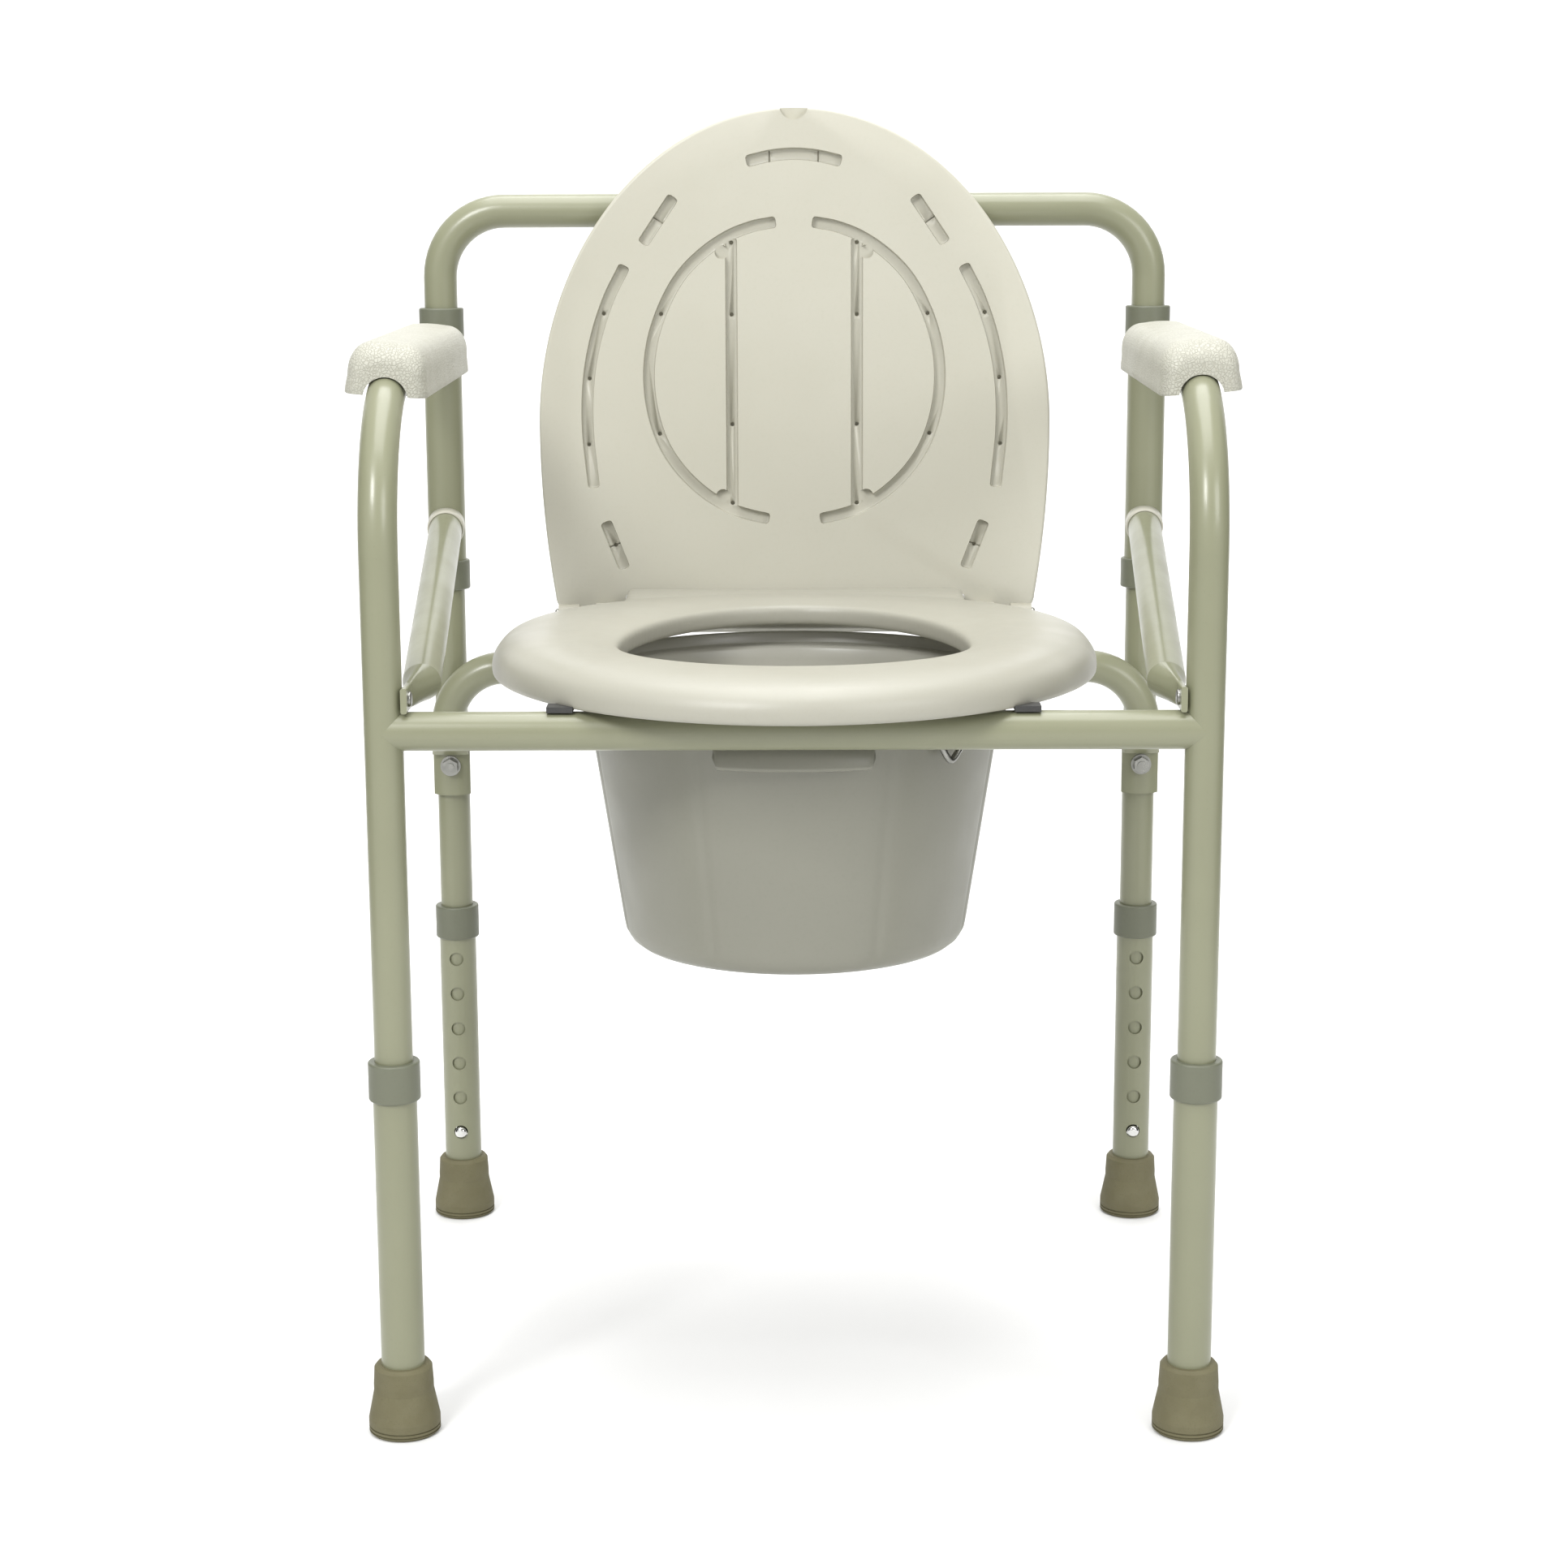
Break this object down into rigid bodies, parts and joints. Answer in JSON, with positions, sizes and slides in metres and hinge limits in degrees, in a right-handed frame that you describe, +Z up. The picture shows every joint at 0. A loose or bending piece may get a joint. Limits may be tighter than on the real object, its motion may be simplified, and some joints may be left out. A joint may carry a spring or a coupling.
{
  "type": "commode chair",
  "caption": "Free-standing steel-tube commode chair with armrests, lifting seat and lid, hanging bucket, removable back bar and height-adjustable legs.",
  "frame": {"origin": "centre of the bounding box's footprint, on the floor under the rubber feet", "axes": "+Z up, front of the chair towards -Y, +X to the right when looking along +Y"},
  "size_m": [0.5228, 0.4615, 0.7725],
  "materials": {
    "frame_paint": "pale grey-green gloss powder coat",
    "seat_plastic": "semi-gloss warm off-white moulded plastic",
    "pad_plastic": "leather-grained off-white moulded plastic",
    "collar_plastic": "satin mid-grey plastic",
    "foot_rubber": "taupe rubber",
    "bumper_rubber": "dark grey rubber",
    "bucket_plastic": "semi-gloss grey moulded plastic",
    "chrome": "bright plating",
    "zinc_steel": "zinc-plated steel",
    "spring_steel": "plain spring steel",
    "hinge_plastic": "satin off-white plastic"
  },
  "bodies": {
    "frame": {"front_leg_arm_left": "frame_paint", "front_leg_arm_right": "frame_paint", "front_crossbar": "frame_paint", "side_rail_left": "frame_paint", "side_rail_right": "frame_paint", "rear_upright_left": "frame_paint", "rear_upright_right": "frame_paint", "upright_top_collars": "collar_plastic", "upright_lower_collars": "collar_plastic", "rear_leg_tube_left": "frame_paint", "rear_leg_tube_right": "frame_paint", "rear_bow": "frame_paint", "bow_bolts": "zinc_steel", "bow_washers": "zinc_steel", "bow_nuts": "zinc_steel", "rail_bolts": "zinc_steel", "arm_pad_left": "pad_plastic", "arm_pad_right": "pad_plastic", "arm_pad_screws": "zinc_steel", "bucket_support_rods": "zinc_steel", "seat_hinge_brackets": "hinge_plastic", "seat_hinge_pins": "zinc_steel", "leg_spring_backs": "spring_steel"},
    "seat_body": {"seat": "seat_plastic", "seat_bumpers": "bumper_rubber"},
    "lid_body": {"lid": "seat_plastic"},
    "back_bar_body": {"back_bar": "frame_paint", "back_spring_backs": "spring_steel"},
    "bucket_body": {"bucket": "bucket_plastic"},
    "bail_body": {"bail_wire": "zinc_steel"},
    "front_left_leg": {"front_left_leg_sleeve": "frame_paint", "front_left_leg_collar": "collar_plastic", "front_left_foot": "foot_rubber", "front_left_foot_disc": "zinc_steel"},
    "front_left_button": {"front_left_snap_button": "chrome"},
    "front_right_leg": {"front_right_leg_sleeve": "frame_paint", "front_right_leg_collar": "collar_plastic", "front_right_foot": "foot_rubber", "front_right_foot_disc": "zinc_steel"},
    "front_right_button": {"front_right_snap_button": "chrome"},
    "rear_left_leg": {"rear_left_leg_sleeve": "frame_paint", "rear_left_leg_collar": "collar_plastic", "rear_left_foot": "foot_rubber", "rear_left_foot_disc": "zinc_steel"},
    "rear_left_button": {"rear_left_snap_button": "chrome"},
    "rear_right_leg": {"rear_right_leg_sleeve": "frame_paint", "rear_right_leg_collar": "collar_plastic", "rear_right_foot": "foot_rubber", "rear_right_foot_disc": "zinc_steel"},
    "rear_right_button": {"rear_right_snap_button": "chrome"},
    "back_left_button": {"back_left_snap_button": "chrome"},
    "back_right_button": {"back_right_snap_button": "chrome"}
  },
  "joints": [
    {"name": "lid_hinge", "type": "hinge", "parent": "frame", "child": "lid_body", "pos_m": [0, 0.152, 0.44], "axis": [-1, 0, 0], "range_deg": [-92.5, 0]},
    {"name": "seat_hinge", "type": "hinge", "parent": "frame", "child": "seat_body", "pos_m": [0, 0.152, 0.44], "axis": [-1, 0, 0], "range_deg": [0, 91]},
    {"name": "back_bar_lift", "type": "slide", "parent": "frame", "child": "back_bar_body", "axis": [0, 0, 1], "range_m": [0, 0.08], "deforming": ["back_left_snap_button", "back_right_snap_button"]},
    {"name": "front_left_leg_height", "type": "slide", "parent": "frame", "child": "front_left_leg", "axis": [0, 0, -1], "range_m": [0, 0.127], "deforming": ["front_left_snap_button"]},
    {"name": "front_right_leg_height", "type": "slide", "parent": "frame", "child": "front_right_leg", "axis": [0, 0, -1], "range_m": [0, 0.127], "deforming": ["front_right_snap_button"]},
    {"name": "rear_left_leg_height", "type": "slide", "parent": "frame", "child": "rear_left_leg", "axis": [0, 0, -1], "range_m": [0, 0.127], "deforming": ["rear_left_snap_button"]},
    {"name": "rear_right_leg_height", "type": "slide", "parent": "frame", "child": "rear_right_leg", "axis": [0, 0, -1], "range_m": [0, 0.127], "deforming": ["rear_right_snap_button"]},
    {"name": "front_left_button_press", "type": "hinge", "parent": "frame", "child": "front_left_button", "pos_m": [-0.2315, -0.17, 0.116], "axis": [-1, 0, 0], "range_deg": [0, 4.8], "stiffness_Nm_per_rad": 3, "springref_deg": -3.44},
    {"name": "front_right_button_press", "type": "hinge", "parent": "frame", "child": "front_right_button", "pos_m": [0.2315, -0.17, 0.116], "axis": [-1, 0, 0], "range_deg": [0, 4.8], "stiffness_Nm_per_rad": 3, "springref_deg": -3.44},
    {"name": "rear_left_button_press", "type": "hinge", "parent": "frame", "child": "rear_left_button", "pos_m": [-0.239, 0.21, 0.116], "axis": [1, 0, 0], "range_deg": [0, 4.8], "stiffness_Nm_per_rad": 3, "springref_deg": -3.44},
    {"name": "rear_right_button_press", "type": "hinge", "parent": "frame", "child": "rear_right_button", "pos_m": [0.239, 0.21, 0.116], "axis": [1, 0, 0], "range_deg": [0, 4.8], "stiffness_Nm_per_rad": 3, "springref_deg": -3.44},
    {"name": "back_left_button_press", "type": "hinge", "parent": "back_bar_body", "child": "back_left_button", "pos_m": [-0.239, 0.21, 0.65], "axis": [-1, 0, 0], "range_deg": [0, 5.1], "stiffness_Nm_per_rad": 3, "springref_deg": -3.44},
    {"name": "back_right_button_press", "type": "hinge", "parent": "back_bar_body", "child": "back_right_button", "pos_m": [0.239, 0.21, 0.65], "axis": [-1, 0, 0], "range_deg": [0, 5.1], "stiffness_Nm_per_rad": 3, "springref_deg": -3.44},
    {"name": "bucket_lift", "type": "slide", "parent": "frame", "child": "bucket_body", "axis": [0, 0, 1], "range_m": [0, 0.004]},
    {"name": "bail_swing", "type": "hinge", "parent": "bucket_body", "child": "bail_body", "pos_m": [0, -0.017, 0.4], "axis": [1, 0, 0], "range_deg": [-2, 31]}
  ]
}
